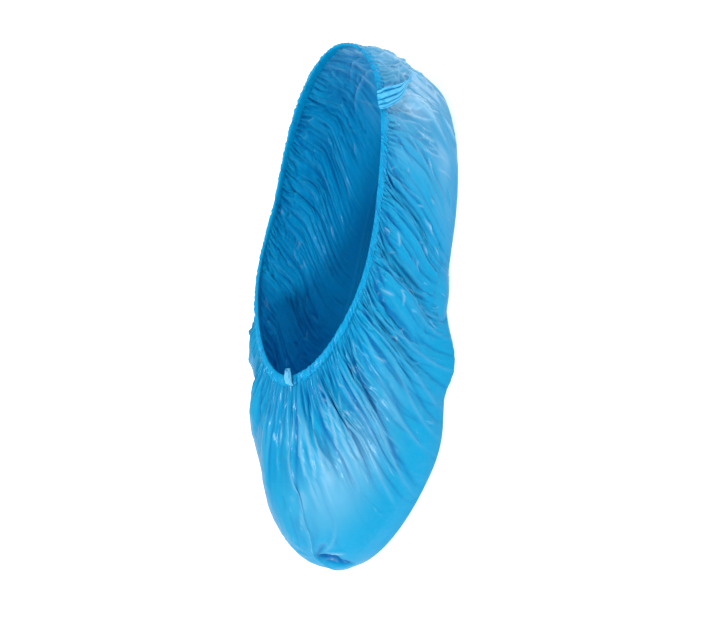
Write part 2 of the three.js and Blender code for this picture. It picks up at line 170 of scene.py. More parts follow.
def bag(angle, at):
    """The smooth bag at an angle, in radians, and a share of the way down. X, Y and Z come first."""
    cosine, sine = np.cos(angle), np.sin(angle)
    toe, heel = loop_curves["toe"](at), loop_curves["heel"](at)
    waist = loop_curves["waist"](at)
    half = mix(loop_curves["back"](at), waist, smooth(cosine, BACK_STATION, WAIST_STATION))
    half = half + (loop_curves["ball"](at) - waist) * smooth(cosine, WAIST_STATION, BALL_STATION)
    fullness = mix(FULLNESS_HEEL, FULLNESS_TOE, smooth(cosine, -1, 1))
    side_z = loop_curves["side_z"](at)
    toeward, heelward = np.maximum(cosine, 0) ** CROWN, np.maximum(-cosine, 0) ** CROWN
    return np.stack([
        (toe + heel) / 2 + (toe - heel) / 2 * cosine,
        half * np.sign(sine) * np.abs(sine) ** fullness + loop_curves["lean"](at) * cosine**2,
        side_z + (loop_curves["toe_z"](at) - side_z) * toeward
        + (loop_curves["heel_z"](at) - side_z) * heelward,
    ])


def unit(vectors):
    """The directions of vectors whose X, Y and Z come first."""
    return vectors / np.maximum(np.sqrt((vectors**2).sum(0)), 1e-9)


def lengths(a, b):
    """The distances between places."""
    return np.sqrt(((b - a) ** 2).sum(0))


def bag_around(angle, at):
    """The direction round the bag, from the toe by the outer side."""
    return unit(bag(angle + NEAR, at) - bag(angle - NEAR, at))


def bag_out(angle, at):
    """The direction out of the bag. Under the sole it is down."""
    below = np.maximum(at, NEAR)
    down = unit(bag(angle, below + NEAR) - bag(angle, below - NEAR))
    out = unit(np.cross(down, bag_around(angle, at), axis=0))
    under = np.zeros_like(out)
    under[2] = -1
    rounded = smooth(at, SOLE_EDGE - SOLE_ROUNDING, SOLE_EDGE + SOLE_ROUNDING)
    return unit(mix(out, under, rounded))


def share_per_mm(angle):
    """The share of the way down that a millimetre is, just below the rim."""
    return NEAR / lengths(bag(angle, 0.0), bag(angle, NEAR))


def eased(value, start, end):
    """A nearly even rise from 0 to 1, a little softened at both ends."""
    return mix(np.clip((value - start) / (end - start), 0, 1), smooth(value, start, end), EASE)


def fold_angle(rim, at):
    """Where the fold that leaves the rim at rim degrees is, in radians, at a share of the way down."""
    turned = turn_between(0, rim)
    early = sweep_curves["early"](turned) * eased(at, 0, EARLY_END)
    late = sweep_curves["late"](turned) * eased(at, EARLY_END, LATE_END)
    return (turned + (early + late) * (1 - smooth(at, SOLE_EDGE, 1))) * DEGREE


def main_folds(rim, at):
    """The height of the main folds."""
    height = 0
    for fold_rim, fold_height, width, reach in FOLDS:
        kept = 1 - smooth(at, reach * FOLD_FADE, reach)
        height = height + fold_height * kept * bell(turn_between(fold_rim, rim), width)
    return height * (1 - smooth(at, *MAIN_FOLDS_END))


def puffs(degrees, at):
    """The height of the loose places."""
    height = 0
    for angle, place, puff_height, around, along in PUFFS:
        spread = bell(turn_between(angle, degrees), around) * bell(at - place, along)
        height = height + puff_height * spread
    return height * (1 - smooth(at, *PUFFS_END))


# ---- Uneven cloth: noise that is the same each run ----


def uneven(around, down, cells_around, cells_down, seed):
    """Smooth noise from -1 to 1 that closes on itself round the bag. around and down run 0 to 1."""
    knots = np.random.default_rng(seed).uniform(-1, 1, (cells_down + 3, cells_around))
    x, y = around * cells_around, np.clip(down, 0, 1) * cells_down
    i, j = np.floor(y).astype(int), np.floor(x).astype(int)
    u, v = x - j, y - i
    u, v = u * u * (3 - 2 * u), v * v * (3 - 2 * v)
    left, right = j % cells_around, (j + 1) % cells_around
    top = mix(knots[i, left], knots[i, right], u)
    return mix(top, mix(knots[i + 1, left], knots[i + 1, right], u), v)


# ---- The net of the film ----

OUTER_COLUMNS = 520
INNER_COLUMNS = 520
COLUMNS = OUTER_COLUMNS + INNER_COLUMNS
FILM_ROWS = 95
ROWS_CROWDED = 1.1
SOLE_ROWS = 10
FILM_END = 0.79
# The real film is about 0.04 mm thick. This is as thin as a clean mesh of it can be
FILM_THICKNESS = 0.25


def spaced_rims():
    """Rim angles of the columns from the toe seam round to it again, evenly spaced along the rim
    on each of the two panels."""
    steps = 3600
    rims = np.linspace(TOE_SEAM, TOE_SEAM + 360, steps + 1)
    places = bag(turn_between(0, rims) * DEGREE, 0.0)
    run = np.r_[0, lengths(places[:, :-1], places[:, 1:]).cumsum()]
    at_heel = np.interp(HEEL_SEAM, rims, run)
    outer = np.linspace(0, at_heel, OUTER_COLUMNS + 1)[:-1]
    inner = np.linspace(at_heel, run[-1], INNER_COLUMNS + 1)
    rim_run = np.r_[outer, inner]
    return np.interp(rim_run, run, rims), rim_run


RIMS, RIM_RUN = spaced_rims()
RIM_LENGTH = RIM_RUN[-1]
ROUND = RIM_RUN / RIM_LENGTH

# Gathers at the elastic. Their valleys run down the bag and close one after another: every second
# one is short, every fourth longer, and so on, so that folds grow fewer and wider on the way.
GATHER_SPACING = 2.9
GATHER_UNEVEN = 0.3
GATHER_RANKS = 4
GATHERS_IN_CYCLE = 2 ** (GATHER_RANKS - 1)
FIRST_IN_CYCLE = 3
LONGEST_GATHER = 0.66
RANK_REACH = (0.11, 0.19, 0.34, 0.55)
RANK_DEPTH = (1.0, 1.4, 1.7, 2.0)

# How far the valleys reach and how deep they are, by where they leave the rim, against the
# figures above: long over the instep and the vamp, deepest along the outer side, short at the heel
GATHER_COLUMNS = ("rim", "reach", "depth")
GATHERS = (
    (-180, 0.6, 0.8), (-130, 0.7, 1), (-80, 0.9, 1.2), (-40, 1.4, 1.2), (-10, 1.3, 1), (8, 1.1, 1),
    (25, 1.4, 1.2), (48, 1.6, 1.4), (65, 1.3, 1.8), (85, 1.1, 1.9), (115, 1, 1.6),
    (140, 0.6, 0.9), (180, 0.6, 0.8),
)

# Sorts of fold in slack film that run down the bag: how far apart they are at the rim, where they
# begin, how long they are in share, their half width in millimetres, their height, and how far
# they wander. PLEAT_LINES are valleys, the others ridges
LOOSE_FOLDS = (9.0, (0.03, 0.16), (0.34, 0.58), (2.4, 4.0), (1.2, 2.6), 4.0)
CREASE_LINES = (3.0, (0.0, 0.25), (0.15, 0.5), (0.4, 0.8), (0.4, 1.0), 2.0)
SHORT_LINES = (1.2, (0.02, 0.6), (0.03, 0.12), (0.4, 0.7), (0.2, 0.7), 1.0)
PLEAT_LINES = (4.6, (0.05, 0.2), (0.4, 0.6), (0.6, 0.9), (0.5, 1.1), 1.2)
LOOSE_COLUMNS = ("rim", "height")
LOOSE = (
    (-180, 0.7), (-130, 0.9), (-80, 1), (-40, 0.8), (-10, 0.45), (15, 0.35), (45, 0.65), (65, 0.95),
    (85, 1), (115, 1), (135, 0.7), (160, 0.9), (180, 0.7),
)
# How far the ridges lean over, against their height
LEAN = 0.75

# Trapped air: how far it lifts the film off the bag, then for each blister its angle, at, height,
# spread round in degrees and along in share
BLISTER_LIFT = 1.5
BLISTERS = ((98, 0.65, 3.6, 7, 0.08),)


def gather_starts():
    """Where valleys leave the elastic, in millimetres along the rim."""
    count = GATHERS_IN_CYCLE * round(RIM_LENGTH / GATHER_SPACING / GATHERS_IN_CYCLE)
    gaps = 1 + GATHER_UNEVEN * np.random.default_rng(5).uniform(-1, 1, count)
    return np.r_[0, gaps.cumsum()[:-1]] / gaps.sum() * RIM_LENGTH


STARTS = gather_starts()
PHASE = 2 * np.pi * np.interp(RIM_RUN, np.r_[STARTS, RIM_LENGTH], np.arange(len(STARTS) + 1))
gather_curves = table_curves(GATHER_COLUMNS, GATHERS)
loose_curves = table_curves(LOOSE_COLUMNS, LOOSE)


def rank_of(number):
    """How long a gather is: 0 for every second one, 1 for every second of the rest, and so on."""
    rank = 0
    while rank < GATHER_RANKS - 1 and number % 2 ** (rank + 1) == 0:
        rank += 1
    return rank


def along_rim(start, end):
    """The way along the rim from one place to another, the shorter way round."""
    return (end - start + RIM_LENGTH / 2) % RIM_LENGTH - RIM_LENGTH / 2


def rim_at(run):
    """The rim angle of a place along the rim."""
    return turn_between(0, np.interp(run % RIM_LENGTH, RIM_RUN, RIMS))


def gather_valleys(at, widening):
    """The depth of all valleys over the net. widening is how far a row is spread, against the rim."""
    rng = np.random.default_rng(14)
    count = len(STARTS)
    depth = np.zeros_like(at)
    for number, start in enumerate(STARTS):
        rank = rank_of(number + FIRST_IN_CYCLE)
        rim = rim_at(start)
        reach = RANK_REACH[rank] * gather_curves["reach"](rim) * rng.uniform(0.7, 1.35)
        reach = min(reach, LONGEST_GATHER)
        neighbour = number + rng.choice((-1, 1)) * 2**rank
        to_neighbour = along_rim(start, STARTS[neighbour % count])
        drift = rng.uniform(-1.5, 1.5)
        share = np.clip(at / reach, 0, 1)
        joining = 0.55 * to_neighbour * share**2 * (rank < GATHER_RANKS - 1)
        away = along_rim(start + joining + drift * share, RIM_RUN[None])
        half = 0.75 + 1.0 * share * reach / RANK_REACH[-1]
        full = RANK_DEPTH[rank] * gather_curves["depth"](rim) * rng.uniform(0.5, 1.4)
        fall = mix(0.9, full, smooth(share, 0, 0.3)) * (1 - smooth(share, 0.4, 1))
        depth += fall * np.exp(-(np.abs(away * widening / half) ** 1.3))
    return depth


def folds_along(sort, at, widening, seed):
    """The height of one sort of fold, by where each leaves the rim, and how straight it runs."""
    spacing, tops, longs, halves, heights, drift = sort
    rng = np.random.default_rng(seed)
    height = np.zeros_like(at)
    count = round(RIM_LENGTH / spacing)
    for number in range(count):
        start = (number + rng.uniform(-0.4, 0.4)) * RIM_LENGTH / count
        top, end = rng.uniform(*tops), rng.uniform(*longs)
        share = np.clip((at - top) / end, 0, 1)
        slack = loose_curves["height"](rim_at(start))
        aside = rng.uniform(-1, 1) * share
        bowed = rng.uniform(-0.4, 0.4) * np.sin(np.pi * share)
        away = along_rim(start + drift * slack * (aside + bowed), RIM_RUN[None]) * widening
        half = rng.uniform(*halves) * mix(0.7, 1.3, share)
        full = rng.uniform(*heights) * slack
        height += full * np.sin(np.pi * share**0.7) ** 0.8 * np.exp(-(np.abs(away / half) ** 1.25))
    return height


# Creases that stand alone: angle and at where each begins and where it ends, height (- a dent),
# half width in millimetres, how far the line bows to the side, and how far the film is whitened
# along it, partly as painted glints. Dents are also darkened in colour as painted shade. The first
# are at the tip of the toe, where the film is tucked under
TOE_TUCK = (
    (4.5, 0.585, 15, 0.63, -4.4, 2.4, 0.5, 0), (7, 0.615, 17, 0.68, -3.6, 2.2, 0.5, 0),
    (6, 0.61, 12, 0.66, 1.2, 0.6, 0.8, 0.3), (13, 0.645, 15, 0.675, 0.8, 0.6, 0, 0.2),
    (11, 0.58, 20, 0.62, 1.4, 1.2, 0.5, 1), (6, 0.575, 27, 0.48, 1, 1.1, -4, 0.25),
    (4.5, 0.575, 16, 0.53, -1.2, 1.6, -1, 0), (3, 0.58, -12, 0.52, 0.8, 1.2, 1, 0.1),
)
HEEL_CREASES = (
    (138.9, 0.15, 142.2, 0.521, 1.8, 0.8, -2.5, 0.9), (148, 0.37, 142.2, 0.521, 1.8, 0.8, 1.5, 0.9),
    (133.4, 0.33, 134.2, 0.51, 1.6, 0.7, -1.5, 1), (127.5, 0.34, 130.7, 0.55, 1, 0.6, -1, 0.9),
    (147, 0.36, 134.7, 0.635, 1.6, 1.2, 2, 0.5), (157.7, 0.25, 158, 0.63, 1.8, 1.2, 1.5, 0.8),
    (146.6, 0.59, 139, 0.72, 1.6, 1.2, 1, 0.8), (152, 0.1, 150, 0.5, 1.2, 0.9, 2, 0.5),
    (174, 0.26, 160, 0.35, 1.6, 1.1, 4, 0.6), (178, 0.5, 161, 0.42, 1.4, 1, -3, 0.5),
    (165, 0.12, 168, 0.4, 1.6, 1.1, 2, 0.6), (-170, 0.3, -150, 0.36, 1.2, 1.1, 4, 0.4),
    (-165, 0.46, -140, 0.5, 1.2, 1.2, 5, 0.4), (129, 0.16, 120, 0.44, 1, 0.8, 2, 0.3),
    (160, 0.15, 146, 0.22, 1.2, 0.8, 1.5, 0.5), (164, 0.5, 150, 0.62, 1.4, 1, 2, 0.6),
)
SIDE_CREASES = (
    (88.3, 0.32, 90.6, 0.41, 1.1, 0.6, 0, 0.8), (111.2, 0.43, 109.2, 0.54, 1, 0.8, 0, 0.6),
    (99.4, 0.4, 97.7, 0.445, 0.8, 0.7, 0, 0.5), (103.6, 0.42, 102.8, 0.475, 1, 1.2, 0, 0.7),
    (98.4, 0.2, 96.6, 0.255, 1, 0.9, 0.5, 0.7), (95, 0.11, 96.4, 0.165, 0.9, 0.9, 0, 0.6),
    (78.7, 0.14, 82.1, 0.24, 0.9, 0.8, 0, 0.6), (80.4, 0.362, 82.2, 0.4, 0.8, 0.8, 0, 0.5),
    (55.9, 0.08, 57, 0.135, 0.8, 0.6, 0, 0.5), (63.3, 0.21, 67.4, 0.305, 0.9, 0.7, 0, 0.5),
    (85, 0.075, 95.5, 0.547, 1, 0.7, 1, 0.25), (83.6, 0.066, 94.3, 0.735, 1, 0.7, -2, 0.25),
    (64.4, 0.09, 73, 0.38, 1, 0.8, 2, 0.25), (72, 0.12, 84, 0.56, 1, 0.8, 2, 0.2),
    (104, 0.12, 104, 0.5, 1, 0.7, 1, 0.25), (112, 0.1, 114, 0.42, 0.9, 0.7, 1, 0.2),
)
VAMP_CREASES = (
    (0, 0.105, -0.7, 0.172, 0.9, 0.8, 0, 0.6), (11.3, 0.095, 11.4, 0.17, 0.9, 0.8, 0, 0.6),
    (15.1, 0.09, 19.2, 0.137, 0.9, 0.7, 0, 0.5), (29.7, 0.058, 33.7, 0.105, 0.9, 0.7, 0, 0.5),
    (32.4, 0.11, 35.8, 0.137, 0.8, 0.8, 0, 0.5), (45.6, 0.222, 48.4, 0.265, 0.8, 0.9, 0, 0.5),
    (49.1, 0.294, 51.9, 0.364, 0.8, 1, 0, 0.4), (45.6, 0.366, 45.5, 0.4, 0.6, 0.7, 0, 0.4),
    (35.2, 0.1, 38.5, 0.335, 1.3, 0.9, 0.5, 0.2), (25, 0.1, 30.7, 0.325, 1.3, 0.9, 0.5, 0.2),
    (22, 0.12, 24.8, 0.33, 1.1, 0.8, 0, 0.2), (44, 0.12, 46.2, 0.43, 1.3, 0.9, 0.5, 0.2),
    (18, 0.18, 19, 0.3, 0.9, 0.8, 0, 0.2), (53, 0.2, 58, 0.52, 1.2, 0.9, 1, 0.15),
)
# Long straight folds from the instep over the ball of the foot, first the dark ones, valleys with
# painted shade, then the pale ones, ridges whitened along their crests, partly a painted highlight
LONG_FOLDS = (
    (58.2, 0.145, 51, 0.74, -1.3, 2.4, 5, 0), (70.7, 0.17, 69, 0.75, -1.1, 1.6, 5, 0),
    (45.9, 0.16, 46, 0.73, -1.1, 1.4, 8, 0), (78.4, 0.36, 77.5, 0.76, -1, 1.6, 1, 0),
    (65.6, 0.28, 59.5, 0.75, -1, 1.2, 3.5, 0), (58.3, 0.42, 47, 0.74, -0.9, 1.2, 1, 0),
    (84.2, 0.42, 84.3, 0.75, -0.9, 1.4, 0.6, 0), (30, 0.136, 36.1, 0.4, -0.8, 0.9, 1, 0),
    (38.6, 0.12, 45.8, 0.48, -0.9, 1, 1, 0), (52, 0.2, 54, 0.6, -0.8, 0.9, 2, 0),
    (63.6, 0.26, 61, 0.72, 1, 2, 2.5, 0.2), (56, 0.3, 48.5, 0.72, 0.9, 1.8, 4, 0.22),
    (48.5, 0.25, 44, 0.66, 0.9, 1.6, 5.5, 0.24), (69, 0.25, 65, 0.74, 0.9, 1.6, 4, 0.18),
    (74, 0.3, 72.5, 0.76, 0.9, 1.8, 3, 0.16), (80.5, 0.35, 81, 0.75, 0.9, 1.6, 1, 0.16),
    (87, 0.36, 88, 0.7, 0.8, 1.4, 0.5, 0.12),
)
FLECKS = 360
CREASE_STEPS = 9
# Where creases cross, they stand no higher than this
CREASE_LIMIT = 2.0

# The film over the heel was crumpled before it was drawn on, and keeps fine whitened creases,
# partly a painted sheen: how many there are, and the angles that they lie between
CRUMPLED_CREASES = 64
CRUMPLED_FROM, CRUMPLED_TO = 124, 215


def crumpled_creases():
    """The fine creases over the heel, as rows like those of the tables above."""
    rng = np.random.default_rng(78)
    rows = []
    for _ in range(CRUMPLED_CREASES):
        angle, at = rng.uniform(CRUMPLED_FROM, CRUMPLED_TO), rng.uniform(0.06, 0.5)
        to_angle, to_at = angle + rng.uniform(-7, 7), at + rng.uniform(0.08, 0.22)
        height, width = rng.uniform(0.3, 0.8), rng.uniform(0.5, 0.9)
        bow, white = rng.uniform(-2.5, 2.5), rng.uniform(0.2, 0.7)
        rows.append((angle, at, to_angle, to_at, height, width, bow, white))
    return tuple(rows)


CREASES = TOE_TUCK + HEEL_CREASES + SIDE_CREASES + VAMP_CREASES + LONG_FOLDS + crumpled_creases()


def crease(form, start, end, height, width, bow):
    """The relief of a bowed crease from one (angle, at) place to another."""
    share = np.linspace(0, 1, CREASE_STEPS)
    angle = start[0] + turn_between(start[0], end[0]) * share
    at = mix(start[1], end[1], share)
    line = bag(angle * DEGREE, at)
    along = unit(line[:, -1:] - line[:, :1])
    middle = CREASE_STEPS // 2
    out = bag_out(angle[middle:middle + 1] * DEGREE, at[middle:middle + 1])
    line = line + unit(np.cross(out, along, axis=0)) * bow * 4 * share * (1 - share)
    low, high = line.min(1) - 3 * width, line.max(1) + 3 * width
    near = np.all((form > low[:, None, None]) & (form < high[:, None, None]), axis=0)
    places = form[:, near]
    nearest = np.full(places.shape[1], 1e3)
    run = np.zeros(places.shape[1])
    for step in range(CREASE_STEPS - 1):
        first, way = line[:, step:step + 1], line[:, step + 1:step + 2] - line[:, step:step + 1]
        u = np.clip(((places - first) * way).sum(0) / (way**2).sum(), 0, 1)
        distance = np.sqrt(((places - first - way * u) ** 2).sum(0))
        closer = distance < nearest
        nearest, run = np.where(closer, distance, nearest), np.where(closer, step + u, run)
    taper = np.sin(np.pi * np.clip(run / (CREASE_STEPS - 1), 0, 1)) ** 0.6
    relief = np.zeros(form.shape[1:])
    relief[near] = height * taper * np.exp(-((nearest / width) ** 1.3))
    return relief


def lone_creases(form):
    """The relief of the creases that stand alone, and how far the film is whitened along them, partly
    as painted glints.
    """
    relief, white = 0, 0
    for angle, at, to_angle, to_at, height, width, bow, whitened_and_glint in CREASES:
        line = crease(form, (angle, at), (to_angle, to_at), height, width, bow)
        relief = relief + line
        white = np.maximum(white, whitened_and_glint * np.clip(line / height, 0, 1) ** 2)
    return relief, white


def flecks(form):
    """Short sharp creases all over the slack film, most of them along its folds."""
    relief = 0
    rng = np.random.default_rng(77)
    for _ in range(FLECKS):
        rim, at = rng.uniform(-180, 180), rng.uniform(0.08, 0.62)
        slack = mix(0.4, 1, loose_curves["height"](rim))
        end = at + rng.uniform(0.02, 0.08)
        places = [
            (float(fold_angle(rim + turn, place)) / DEGREE, place)
            for turn, place in ((0, at), (rng.uniform(-3, 3), end))
        ]
        height = rng.uniform(0.3, 1.0) * rng.choice((1, 1, -1)) * slack
        relief = relief + crease(form, *places, height, rng.uniform(0.5, 0.9), rng.uniform(-1, 1))
    return relief


def crumples(around, at, cells, tall, size, seed):
    """Sharp-crested random folds, such as thin film keeps where it has been crumpled."""
    shift = 0.25 * uneven(around, at, cells // 2, max(tall // 2, 1), seed + 100) / cells
    fine = uneven((around + shift) % 1, at + 0.3 * shift, cells, tall, seed)
    return size * (0.5 - np.abs(fine) * 1.6)


# The toe seam drifts outward on its way down, and the tuck at its end drags it back, in degrees
TOE_DRIFT, TOE_TUCK_PULL = 2.5, 7.5
TOE_PULL_WIDTH = 20
TOE_PULL_END = (0.68, 0.78)

# Where the net begins inside the hem, where the hem's free edge is, both down from the rim, and how
# far the film stands out there, to come from under that edge
IN_HEM = 2.5
HEM_DROP = 6.2
HEM_FLUSH = 1.0
HEM_FLUSH_RUN = (2, 14)

# How far the film stands off the smooth bag. Folds die out on the way to the sole, and the finest
# of them a little further down
FILM_STANDS_OFF = 0.7
FOLDS_END = (0.62, 0.75)
FINE_END = (0.68, 0.78)


def toe_pull(rim, at):
    """How far the film is dragged round by the tuck at the tip of the toe, in radians."""
    pulled = TOE_DRIFT * smooth(at, 0.1, 0.4) - TOE_TUCK_PULL * smooth(at, 0.46, 0.58)
    near_seam = bell(turn_between(TOE_SEAM, rim), TOE_PULL_WIDTH)
    return pulled * near_seam * (1 - smooth(at, *TOE_PULL_END)) * DEGREE


def film_net():
    """The smooth bag, the direction out of it and the relief, at each knot of the film's net. The
    first rows are inside the hem."""
    per_mm = share_per_mm(fold_angle(RIMS, 0.0))[None]
    shares = np.linspace(0, 1, FILM_ROWS) ** ROWS_CROWDED
    at = IN_HEM * per_mm + (FILM_END - IN_HEM * per_mm) * shares[:, None]
    below_hem = at - HEM_DROP * per_mm
    free_at = np.maximum(below_hem, 0)
    rim = np.broadcast_to(RIMS, at.shape)
    angle = fold_angle(rim, np.maximum(at, HEM_HEIGHT * per_mm)) + toe_pull(rim, at)
    form = bag(angle, at)
    out = bag_out(angle, at)
    widths = lengths(form[:, :, :-1], form[:, :, 1:])
    widening = np.concatenate([widths, widths[:, -1:]], axis=1) / widths[:1, :1].mean()
    free = smooth(below_hem, 0, 0.1)
    flat = 1 - smooth(at, *FOLDS_END)
    ridges = main_folds(rim, at) * mix(0.3, 1, free)
    ridges = ridges + folds_along(LOOSE_FOLDS, free_at, widening, seed=31) * flat
    toe_cap = bell(angle / DEGREE, 75) * smooth(at, 0.1, 0.4)
    loose = (1 - toe_cap) * smooth(below_hem, 0, 0.2) * flat
    crumple = crumples(ROUND, at, cells=60, tall=8, size=0.7, seed=1)
    crumple = crumple + crumples(ROUND, at, cells=130, tall=12, size=0.4, seed=2)
    valleys = gather_valleys(free_at, widening) * flat
    below_edge = below_hem / per_mm
    held = mix(0.35, 1, smooth(below_edge, -2.0, 0.8))
    flush = HEM_FLUSH * (1 - smooth(below_edge, *HEM_FLUSH_RUN))
    relief = ridges + puffs(angle / DEGREE, at) - valleys + crumple * loose + FILM_STANDS_OFF + flush
    relief = relief * held
    heelward = bag_around(angle, at) * np.clip(angle * 2, -1, 1)
    leaned = heelward * LEAN * ridges * free * flat
    return at, angle, form, out, relief, leaned, valleys, below_hem, widening


def blisters(degrees, at):
    """Small domes of trapped air."""
    height = 0
    for angle, place, full, around, along in BLISTERS:
        away = (turn_between(angle, degrees) / around) ** 2 + ((at - place) / along) ** 2
        height = height + full * np.clip(1 - away, 0, 1) ** 0.8
    return height


def fine_relief(at, angle, form, below_hem, widening):
    """The relief that is too fine and sharp to settle, how far the film is whitened along it, partly
    as painted glints, and how far it is darkened there, where it lies double and with painted shade."""
    free = smooth(below_hem, 0, 0.05) * (1 - smooth(at, *FINE_END))
    degrees = turn_between(0, angle / DEGREE)
    slack = 1 - 0.5 * bell(degrees - 14, 80) * smooth(at, 0.15, 0.42)
    free_at = np.maximum(below_hem, 0)
    lines = folds_along(CREASE_LINES, free_at, widening, seed=41)
    lines = lines + folds_along(SHORT_LINES, free_at, widening, seed=43)
    pleats = folds_along(PLEAT_LINES, free_at, widening, seed=45)
    specks = flecks(form)
    lone, lone_white_and_glint = lone_creases(form)
    crinkle = crumples(ROUND, at, cells=170, tall=22, size=0.2, seed=13)
    relief = np.minimum(((lines + crinkle) * slack + specks - pleats) * free + lone, CREASE_LIMIT)
    # Whitened along the crease lines, and painted glints on the flecks
    white = np.clip(0.16 * lines * slack + 0.9 * (specks - 0.35), 0, 1) * free + lone_white_and_glint
    # Darker in the creases' dents as painted shade, and along the pleat lines, where the film lies
    # double
    double_and_shaded = np.clip(-lone / 2.5 - 0.1, 0, 1) + 0.35 * pleats * free
    return relief, np.clip(white, 0, 1), np.clip(double_and_shaded, 0, 1)


# ---- Settling the film: it can't stretch, and there is more of it than the bag needs ----

SPARE_AT_RIM = 1.5
SPARE_IN_FOLDS = 0.02
SLACK_AT_HEM, SLACK_BELOW = 0.35, 0.06
STIFF_AT_HEM, STIFF_BELOW = 0.03, 0.1
MOVES_IN, MOVES_OUT = 1.0, 1.8
# Rows that stay where they are: down to this share below the hem, and the last ones at the sole
PINNED_IN_HEM, PINNED_AT_SOLE = 0.002, 3
# How far threads that are too short push back, against how far long ones pull
PUSH_ACROSS, PUSH_DOWN, PUSH_SLANTING = 1.0, 0.6, 0.5


def pull(a, b, rest, share):
    """Moves the ends of threads to their rest length. Slack threads push back with a share."""
    way = b - a
    long = np.maximum(np.sqrt((way**2).sum(0)), 1e-6)
    stretch = (long - rest) / long
    stretch = np.where(stretch > 0, stretch, stretch * share)
    way *= 0.5 * stretch
    a += way
    b -= way


def rest_lengths(form, across_spare, down_spare):
    """Rest lengths of the threads across, down and on both diagonals."""
    across = lengths(form[:, :, :-1], form[:, :, 1:])
    down = lengths(form[:, :-1], form[:, 1:])
    run = form[:, :, 1:] - form[:, :, :-1]
    fall = form[:, 1:] - form[:, :-1]
    cosine = (unit(run[:, :-1]) * unit(fall[:, :, :-1])).sum(0)
    across = across * (1 + across_spare)
    down = down * (1 + down_spare)
    h = (across[:-1] + across[1:]) / 2
    v = (down[:, :-1] + down[:, 1:]) / 2
    one = np.sqrt(h * h + v * v + 2 * h * v * cosine)
    other = np.sqrt(np.maximum(h * h + v * v - 2 * h * v * cosine, 1e-6))
    return across, down, one, other


def settle(points, form, out, low, high, rests, stiff, pinned, rounds):
    """Pulls every thread to its rest length again and again, and smooths a little each time. The
    film stays between low and high over the smooth bag."""
    across, down, one, other = rests
    rows = points.shape[1]
    fixed = points[:, pinned].copy()
    for _ in range(rounds):
        pull(points[:, :, 0:-1:2], points[:, :, 1::2], across[:, 0::2], PUSH_ACROSS)
        points[:, :, -1] = points[:, :, 0]
        pull(points[:, :, 1:-1:2], points[:, :, 2::2], across[:, 1::2], PUSH_ACROSS)
        points[:, :, 0] = points[:, :, -1]
        for first in (0, 1):
            last = rows - 1 - (rows - 1 - first) % 2
            upper, lower = points[:, first:last:2], points[:, first + 1:last + 1:2]
            pairs = slice(first, first + 2 * upper.shape[1], 2)
            pull(upper, lower, down[pairs], PUSH_DOWN)
            pull(upper[:, :, :-1], lower[:, :, 1:], one[pairs], PUSH_SLANTING)
            pull(upper[:, :, 1:], lower[:, :, :-1], other[pairs], PUSH_SLANTING)
        points[:, :, 0] = points[:, :, -1] = (points[:, :, 0] + points[:, :, -1]) / 2
        middle = points[:, :, 1:-1]
        middle += stiff * ((points[:, :, :-2] + points[:, :, 2:]) / 2 - middle)
        inner = points[:, 1:-1]
        inner += stiff[1:-1] * ((points[:, :-2] + points[:, 2:]) / 2 - inner)
        height = ((points - form) * out).sum(0)
        points += out * (np.clip(height, low, high) - height)
        points[:, pinned] = fixed
    return points


def hollows(points, form, out):
    """How far the film lies below its surroundings across the folds, in millimetres."""
    height = ((points - form) * out).sum(0)
    below = 0
    for reach in (2, 6):
        around = sum(np.roll(height, step, axis=1) for step in range(-reach, reach + 1))
        below = below + around / (2 * reach + 1) - height
    return below


def film_surface(rounds):
    """The settled film with its creases, and what the materials and the seams need of it."""
    at, angle, form, out, relief, leaned, valleys, below_hem, widening = film_net()
    points = form + out * relief + leaned
    folded = lengths(points[:, :, :-1], points[:, :, 1:]) * (1 + SPARE_IN_FOLDS)
    widths = lengths(form[:, :, :-1], form[:, :, 1:])
    material = widths[:1] * SPARE_AT_RIM
    most = mix(SLACK_AT_HEM, SLACK_BELOW, smooth(below_hem[:, 1:], 0.04, 0.16))
    spare = np.clip(material / widths - 1, -0.005, most) * (1 - smooth(at[:, 1:], 0.45, 0.74))
    side = np.sin(angle) ** 2
    heel = smooth(-np.cos(angle), 0.3, 0.9)
    down_spare = (0.02 * side + 0.04 * heel)[1:] * (1 - smooth(at[1:], 0.6, 0.76))
    across, *others = rest_lengths(form, spare, down_spare)
    rests = [np.maximum(folded, across), *others]
    low = relief - MOVES_IN
    high = relief + MOVES_OUT
    stiff = mix(STIFF_AT_HEM, STIFF_BELOW, smooth(below_hem.mean(1), 0.03, 0.16))[:, None]
    pinned = below_hem.max(1) <= PINNED_IN_HEM
    pinned[-PINNED_AT_SOLE:] = True
    if rounds:
        narrow = [np.ascontiguousarray(a, dtype=np.float32) for a in (points, form, out, low, high)]
        rests = [r.astype(np.float32) for r in rests]
        points = settle(*narrow, rests, stiff.astype(np.float32), pinned, rounds)
    fine, white, tucked_and_shaded = fine_relief(at, angle, form, below_hem, widening)
    dome = blisters(turn_between(0, angle / DEGREE), at)
    settled = ((points - form) * out).sum(0)
    calm = smooth(dome, 0, 1.2)
    points = points + out * (mix(fine, BLISTER_LIFT - settled, 0.8 * calm) + dome)
    points[2] = np.maximum(points[2], SOLE_Z)
    return points, out, at, angle, valleys, below_hem, hollows(points, form, out), white, tucked_and_shaded


# ---- Making meshes ----


def placed(name, data):
    """An object in the scene, with its mesh, light or camera."""
    thing = bpy.data.objects.new(name, data)
    bpy.context.scene.collection.objects.link(thing)
    return thing


def net_faces(rows, columns, closed_down, closed_round):
    """The quads of a net, facing out of the bag where rows run down it and columns round it."""
    i, j = np.meshgrid(
        np.arange(rows if closed_down else rows - 1),
        np.arange(columns if closed_round else columns - 1), indexing="ij",
    )
    below, beside = (i + 1) % rows, (j + 1) % columns
    corners = [i * columns + j, below * columns + j, below * columns + beside, i * columns + beside]
    return np.stack(corners, -1).reshape(-1, 4)


